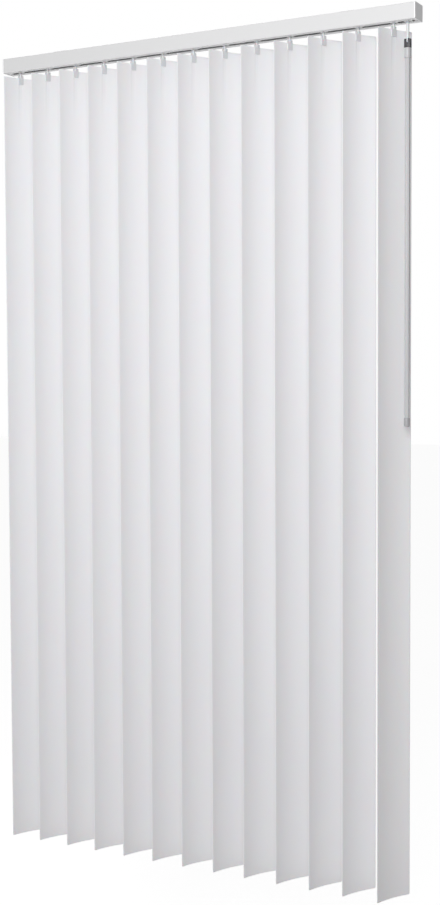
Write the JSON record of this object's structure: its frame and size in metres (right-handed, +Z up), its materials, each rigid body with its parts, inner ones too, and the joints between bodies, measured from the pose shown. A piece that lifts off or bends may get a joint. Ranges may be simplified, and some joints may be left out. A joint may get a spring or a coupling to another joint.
{
  "type": "vertical blind",
  "caption": "Vertical blind: white headrail with geared carriers, curved plastic vanes hung from stems that tilt together and gather to one side, worked by a hanging wand.",
  "frame": {"origin": "on the ceiling face of the mounting clips, midway along the headrail", "axes": "+X along the headrail towards the wand, -Y towards the room, +Z up"},
  "size_m": [1, 0.0795, 1.8],
  "materials": {
    "rail_enamel": "white satin stove enamel on extruded aluminium",
    "cap_plastic": "white moulded plastic",
    "clip_steel": "zinc plated spring steel",
    "rod_aluminium": "plain extruded aluminium",
    "carrier_plastic": "white moulded plastic",
    "gear_plastic": "natural slippery plastic",
    "stem_plastic": "milky moulded plastic",
    "vane_plastic": "white extruded vinyl, smooth satin",
    "wand_plastic": "grey moulded plastic, polished"
  },
  "bodies": {
    "rail": {"headrail": "rail_enamel", "end_caps": "cap_plastic", "mounting_clips": "clip_steel", "carrier_01": "carrier_plastic"},
    "tilt_rod": {"tilt_rod": "rod_aluminium"},
    "carrier_02": {"carrier_02": "carrier_plastic"},
    "carrier_03": {"carrier_03": "carrier_plastic"},
    "carrier_04": {"carrier_04": "carrier_plastic"},
    "carrier_05": {"carrier_05": "carrier_plastic"},
    "carrier_06": {"carrier_06": "carrier_plastic"},
    "carrier_07": {"carrier_07": "carrier_plastic"},
    "carrier_08": {"carrier_08": "carrier_plastic"},
    "carrier_09": {"carrier_09": "carrier_plastic"},
    "carrier_10": {"carrier_10": "carrier_plastic"},
    "carrier_11": {"carrier_11": "carrier_plastic"},
    "carrier_12": {"carrier_12": "carrier_plastic"},
    "lead_carrier": {"carrier_13": "carrier_plastic", "wand_truck": "carrier_plastic"},
    "vane_01": {"stem_01": "stem_plastic", "vane_01": "vane_plastic"},
    "worm_01": {"worm_01": "gear_plastic"},
    "vane_02": {"stem_02": "stem_plastic", "vane_02": "vane_plastic"},
    "worm_02": {"worm_02": "gear_plastic"},
    "vane_03": {"stem_03": "stem_plastic", "vane_03": "vane_plastic"},
    "worm_03": {"worm_03": "gear_plastic"},
    "vane_04": {"stem_04": "stem_plastic", "vane_04": "vane_plastic"},
    "worm_04": {"worm_04": "gear_plastic"},
    "vane_05": {"stem_05": "stem_plastic", "vane_05": "vane_plastic"},
    "worm_05": {"worm_05": "gear_plastic"},
    "vane_06": {"stem_06": "stem_plastic", "vane_06": "vane_plastic"},
    "worm_06": {"worm_06": "gear_plastic"},
    "vane_07": {"stem_07": "stem_plastic", "vane_07": "vane_plastic"},
    "worm_07": {"worm_07": "gear_plastic"},
    "vane_08": {"stem_08": "stem_plastic", "vane_08": "vane_plastic"},
    "worm_08": {"worm_08": "gear_plastic"},
    "vane_09": {"stem_09": "stem_plastic", "vane_09": "vane_plastic"},
    "worm_09": {"worm_09": "gear_plastic"},
    "vane_10": {"stem_10": "stem_plastic", "vane_10": "vane_plastic"},
    "worm_10": {"worm_10": "gear_plastic"},
    "vane_11": {"stem_11": "stem_plastic", "vane_11": "vane_plastic"},
    "worm_11": {"worm_11": "gear_plastic"},
    "vane_12": {"stem_12": "stem_plastic", "vane_12": "vane_plastic"},
    "worm_12": {"worm_12": "gear_plastic"},
    "vane_13": {"stem_13": "stem_plastic", "vane_13": "vane_plastic"},
    "worm_13": {"worm_13": "gear_plastic"},
    "drive_gear": {"drive_gear": "gear_plastic"},
    "wand_spindle": {"wand_spindle": "stem_plastic"},
    "wand": {"wand": "wand_plastic"}
  },
  "joints": [
    {"name": "traverse", "type": "slide", "parent": "rail", "child": "lead_carrier", "axis": [1, 0, 0], "range_m": [-0.708, 0]},
    {"name": "glide_02", "type": "slide", "parent": "rail", "child": "carrier_02", "axis": [1, 0, 0], "range_m": [-0.0595, 0.0005]},
    {"name": "glide_03", "type": "slide", "parent": "rail", "child": "carrier_03", "axis": [1, 0, 0], "range_m": [-0.1185, 0.0005]},
    {"name": "glide_04", "type": "slide", "parent": "rail", "child": "carrier_04", "axis": [1, 0, 0], "range_m": [-0.1775, 0.0005]},
    {"name": "glide_05", "type": "slide", "parent": "rail", "child": "carrier_05", "axis": [1, 0, 0], "range_m": [-0.2365, 0.0005]},
    {"name": "glide_06", "type": "slide", "parent": "rail", "child": "carrier_06", "axis": [1, 0, 0], "range_m": [-0.2955, 0.0005]},
    {"name": "glide_07", "type": "slide", "parent": "rail", "child": "carrier_07", "axis": [1, 0, 0], "range_m": [-0.3545, 0.0005]},
    {"name": "glide_08", "type": "slide", "parent": "rail", "child": "carrier_08", "axis": [1, 0, 0], "range_m": [-0.4135, 0.0005]},
    {"name": "glide_09", "type": "slide", "parent": "rail", "child": "carrier_09", "axis": [1, 0, 0], "range_m": [-0.4725, 0.0005]},
    {"name": "glide_10", "type": "slide", "parent": "rail", "child": "carrier_10", "axis": [1, 0, 0], "range_m": [-0.5315, 0.0005]},
    {"name": "glide_11", "type": "slide", "parent": "rail", "child": "carrier_11", "axis": [1, 0, 0], "range_m": [-0.5905, 0.0005]},
    {"name": "glide_12", "type": "slide", "parent": "rail", "child": "carrier_12", "axis": [1, 0, 0], "range_m": [-0.6495, 0.0005]},
    {"name": "tilt_01", "type": "hinge", "parent": "rail", "child": "vane_01", "pos_m": [-0.465, 0, -0.0223], "axis": [0, 0, 1], "range_deg": [-43, 94]},
    {"name": "worm_turn_01", "type": "hinge", "parent": "rail", "child": "worm_01", "pos_m": [-0.465, 0.00928, -0.0223], "axis": [1, 0, 0], "range_deg": [-259, 565]},
    {"name": "tilt_02", "type": "hinge", "parent": "carrier_02", "child": "vane_02", "pos_m": [-0.389, 0, -0.0223], "axis": [0, 0, 1], "range_deg": [-43.5, 94.5]},
    {"name": "worm_turn_02", "type": "hinge", "parent": "carrier_02", "child": "worm_02", "pos_m": [-0.389, 0.00928, -0.0223], "axis": [1, 0, 0], "range_deg": [-259, 565]},
    {"name": "tilt_03", "type": "hinge", "parent": "carrier_03", "child": "vane_03", "pos_m": [-0.313, 0, -0.0223], "axis": [0, 0, 1], "range_deg": [-43.5, 94.5]},
    {"name": "worm_turn_03", "type": "hinge", "parent": "carrier_03", "child": "worm_03", "pos_m": [-0.313, 0.00928, -0.0223], "axis": [1, 0, 0], "range_deg": [-259, 565]},
    {"name": "tilt_04", "type": "hinge", "parent": "carrier_04", "child": "vane_04", "pos_m": [-0.237, 0, -0.0223], "axis": [0, 0, 1], "range_deg": [-43.5, 94.5]},
    {"name": "worm_turn_04", "type": "hinge", "parent": "carrier_04", "child": "worm_04", "pos_m": [-0.237, 0.00928, -0.0223], "axis": [1, 0, 0], "range_deg": [-259, 565]},
    {"name": "tilt_05", "type": "hinge", "parent": "carrier_05", "child": "vane_05", "pos_m": [-0.161, 0, -0.0223], "axis": [0, 0, 1], "range_deg": [-43.5, 94.5]},
    {"name": "worm_turn_05", "type": "hinge", "parent": "carrier_05", "child": "worm_05", "pos_m": [-0.161, 0.00928, -0.0223], "axis": [1, 0, 0], "range_deg": [-259, 565]},
    {"name": "tilt_06", "type": "hinge", "parent": "carrier_06", "child": "vane_06", "pos_m": [-0.085, 0, -0.0223], "axis": [0, 0, 1], "range_deg": [-43.5, 94.5]},
    {"name": "worm_turn_06", "type": "hinge", "parent": "carrier_06", "child": "worm_06", "pos_m": [-0.085, 0.00928, -0.0223], "axis": [1, 0, 0], "range_deg": [-259, 565]},
    {"name": "tilt_07", "type": "hinge", "parent": "carrier_07", "child": "vane_07", "pos_m": [-0.009, 0, -0.0223], "axis": [0, 0, 1], "range_deg": [-43.5, 94.5]},
    {"name": "worm_turn_07", "type": "hinge", "parent": "carrier_07", "child": "worm_07", "pos_m": [-0.009, 0.00928, -0.0223], "axis": [1, 0, 0], "range_deg": [-259, 565]},
    {"name": "tilt_08", "type": "hinge", "parent": "carrier_08", "child": "vane_08", "pos_m": [0.067, 0, -0.0223], "axis": [0, 0, 1], "range_deg": [-43.5, 94.5]},
    {"name": "worm_turn_08", "type": "hinge", "parent": "carrier_08", "child": "worm_08", "pos_m": [0.067, 0.00928, -0.0223], "axis": [1, 0, 0], "range_deg": [-259, 565]},
    {"name": "tilt_09", "type": "hinge", "parent": "carrier_09", "child": "vane_09", "pos_m": [0.143, 0, -0.0223], "axis": [0, 0, 1], "range_deg": [-43.5, 94.5]},
    {"name": "worm_turn_09", "type": "hinge", "parent": "carrier_09", "child": "worm_09", "pos_m": [0.143, 0.00928, -0.0223], "axis": [1, 0, 0], "range_deg": [-259, 565]},
    {"name": "tilt_10", "type": "hinge", "parent": "carrier_10", "child": "vane_10", "pos_m": [0.219, 0, -0.0223], "axis": [0, 0, 1], "range_deg": [-43.5, 94.5]},
    {"name": "worm_turn_10", "type": "hinge", "parent": "carrier_10", "child": "worm_10", "pos_m": [0.219, 0.00928, -0.0223], "axis": [1, 0, 0], "range_deg": [-259, 565]},
    {"name": "tilt_11", "type": "hinge", "parent": "carrier_11", "child": "vane_11", "pos_m": [0.295, 0, -0.0223], "axis": [0, 0, 1], "range_deg": [-43.5, 94.5]},
    {"name": "worm_turn_11", "type": "hinge", "parent": "carrier_11", "child": "worm_11", "pos_m": [0.295, 0.00928, -0.0223], "axis": [1, 0, 0], "range_deg": [-259, 565]},
    {"name": "tilt_12", "type": "hinge", "parent": "carrier_12", "child": "vane_12", "pos_m": [0.371, 0, -0.0223], "axis": [0, 0, 1], "range_deg": [-43.5, 94.5]},
    {"name": "worm_turn_12", "type": "hinge", "parent": "carrier_12", "child": "worm_12", "pos_m": [0.371, 0.00928, -0.0223], "axis": [1, 0, 0], "range_deg": [-259, 565]},
    {"name": "tilt_13", "type": "hinge", "parent": "lead_carrier", "child": "vane_13", "pos_m": [0.447, 0, -0.0223], "axis": [0, 0, 1], "range_deg": [-43.5, 94.5]},
    {"name": "worm_turn_13", "type": "hinge", "parent": "lead_carrier", "child": "worm_13", "pos_m": [0.447, 0.00928, -0.0223], "axis": [1, 0, 0], "range_deg": [-259, 565]},
    {"name": "rod_turn", "type": "hinge", "parent": "rail", "child": "tilt_rod", "pos_m": [0, 0.00928, -0.0223], "axis": [1, 0, 0], "range_deg": [-259, 565]},
    {"name": "drive_turn", "type": "hinge", "parent": "lead_carrier", "child": "drive_gear", "pos_m": [0.477, 0.00928, -0.0223], "axis": [1, 0, 0], "range_deg": [-259, 565]},
    {"name": "wand_twist", "type": "hinge", "parent": "lead_carrier", "child": "wand_spindle", "pos_m": [0.477, 0, -0.0223], "axis": [0, 0, 1], "range_deg": [-259, 565]},
    {"name": "wand_swing", "type": "hinge", "parent": "wand_spindle", "child": "wand", "pos_m": [0.477, 0, -0.073], "axis": [1, 0, 0], "range_deg": [-45, 0]}
  ],
  "couplings": [
    {"joint": "glide_02", "follows": "traverse", "ratio": 0.083333},
    {"joint": "glide_03", "follows": "traverse", "ratio": 0.16667},
    {"joint": "glide_04", "follows": "traverse", "ratio": 0.25},
    {"joint": "glide_05", "follows": "traverse", "ratio": 0.33333},
    {"joint": "glide_06", "follows": "traverse", "ratio": 0.41667},
    {"joint": "glide_07", "follows": "traverse", "ratio": 0.5},
    {"joint": "glide_08", "follows": "traverse", "ratio": 0.58333},
    {"joint": "glide_09", "follows": "traverse", "ratio": 0.66667},
    {"joint": "glide_10", "follows": "traverse", "ratio": 0.75},
    {"joint": "glide_11", "follows": "traverse", "ratio": 0.83333},
    {"joint": "glide_12", "follows": "traverse", "ratio": 0.91667},
    {"joint": "worm_turn_01", "follows": "tilt_01", "ratio": 6},
    {"joint": "tilt_02", "follows": "tilt_01", "ratio": 1},
    {"joint": "worm_turn_02", "follows": "tilt_01", "ratio": 6},
    {"joint": "tilt_03", "follows": "tilt_01", "ratio": 1},
    {"joint": "worm_turn_03", "follows": "tilt_01", "ratio": 6},
    {"joint": "tilt_04", "follows": "tilt_01", "ratio": 1},
    {"joint": "worm_turn_04", "follows": "tilt_01", "ratio": 6},
    {"joint": "tilt_05", "follows": "tilt_01", "ratio": 1},
    {"joint": "worm_turn_05", "follows": "tilt_01", "ratio": 6},
    {"joint": "tilt_06", "follows": "tilt_01", "ratio": 1},
    {"joint": "worm_turn_06", "follows": "tilt_01", "ratio": 6},
    {"joint": "tilt_07", "follows": "tilt_01", "ratio": 1},
    {"joint": "worm_turn_07", "follows": "tilt_01", "ratio": 6},
    {"joint": "tilt_08", "follows": "tilt_01", "ratio": 1},
    {"joint": "worm_turn_08", "follows": "tilt_01", "ratio": 6},
    {"joint": "tilt_09", "follows": "tilt_01", "ratio": 1},
    {"joint": "worm_turn_09", "follows": "tilt_01", "ratio": 6},
    {"joint": "tilt_10", "follows": "tilt_01", "ratio": 1},
    {"joint": "worm_turn_10", "follows": "tilt_01", "ratio": 6},
    {"joint": "tilt_11", "follows": "tilt_01", "ratio": 1},
    {"joint": "worm_turn_11", "follows": "tilt_01", "ratio": 6},
    {"joint": "tilt_12", "follows": "tilt_01", "ratio": 1},
    {"joint": "worm_turn_12", "follows": "tilt_01", "ratio": 6},
    {"joint": "tilt_13", "follows": "tilt_01", "ratio": 1},
    {"joint": "worm_turn_13", "follows": "tilt_01", "ratio": 6},
    {"joint": "rod_turn", "follows": "tilt_01", "ratio": 6},
    {"joint": "drive_turn", "follows": "tilt_01", "ratio": 6},
    {"joint": "wand_twist", "follows": "tilt_01", "ratio": 6}
  ]
}
